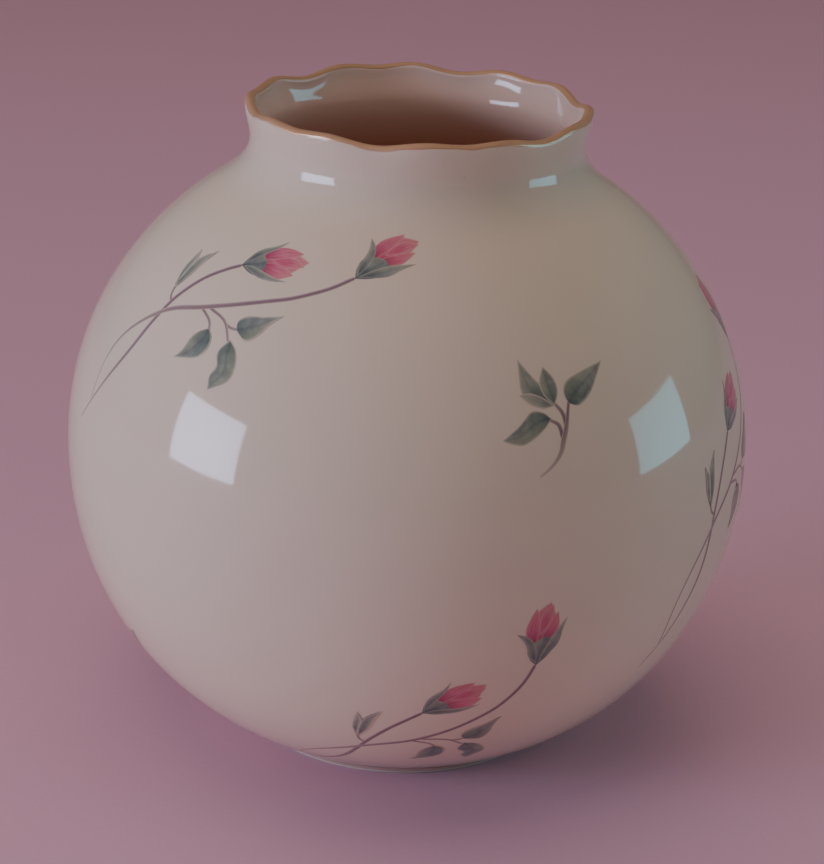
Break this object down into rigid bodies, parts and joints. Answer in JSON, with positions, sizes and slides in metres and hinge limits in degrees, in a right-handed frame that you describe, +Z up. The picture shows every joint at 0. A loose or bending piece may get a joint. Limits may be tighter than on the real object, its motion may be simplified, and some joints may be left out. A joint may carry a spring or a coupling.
{
  "type": "porcelain vase",
  "caption": "Globular ivory porcelain vase with a short neck, a ruffled gilded lip, a low foot ring and rosebud spray transfers.",
  "frame": {"origin": "centre of the foot ring, on the surface that the vase stands on", "axes": "+Z up the axis of the vase, -Y towards the front, +X to the right"},
  "size_m": [0.15, 0.15, 0.1438],
  "materials": {
    "porcelain": "bare biscuit porcelain, matte, seen only on the wiped rim of the foot",
    "glaze": "warm ivory, very glossy feldspathic glaze",
    "gilding": "fired tan gold lustre with brushed-on edges, softly shining",
    "stem_enamel": "mauve-brown overglaze enamel, soft-edged",
    "leaf_enamel": "grey-green overglaze enamel, washed like watercolour",
    "bud_enamel": "rose-pink overglaze enamel, washed like watercolour"
  },
  "bodies": {
    "root": {"porcelain_body": "porcelain", "glaze_coat": "glaze", "base_glaze": "glaze", "gilt_lip_band": "gilding", "spray_front_left_stems": "stem_enamel", "spray_front_left_leaves": "leaf_enamel", "spray_front_left_buds": "bud_enamel", "spray_front_low_stems": "stem_enamel", "spray_front_low_leaves": "leaf_enamel", "spray_front_low_buds": "bud_enamel", "spray_right_stems": "stem_enamel", "spray_right_leaves": "leaf_enamel", "spray_right_buds": "bud_enamel", "spray_back_right_stems": "stem_enamel", "spray_back_right_leaves": "leaf_enamel", "spray_back_right_buds": "bud_enamel", "spray_back_low_stems": "stem_enamel", "spray_back_low_leaves": "leaf_enamel", "spray_back_low_buds": "bud_enamel", "spray_back_left_stems": "stem_enamel", "spray_back_left_leaves": "leaf_enamel", "spray_back_left_buds": "bud_enamel", "sprig_front_stems": "stem_enamel", "sprig_front_leaves": "leaf_enamel", "sprig_left_low_stems": "stem_enamel", "sprig_left_low_leaves": "leaf_enamel", "sprig_back_stems": "stem_enamel", "sprig_back_leaves": "leaf_enamel", "sprig_right_low_stems": "stem_enamel", "sprig_right_low_leaves": "leaf_enamel"}
  },
  "joints": []
}
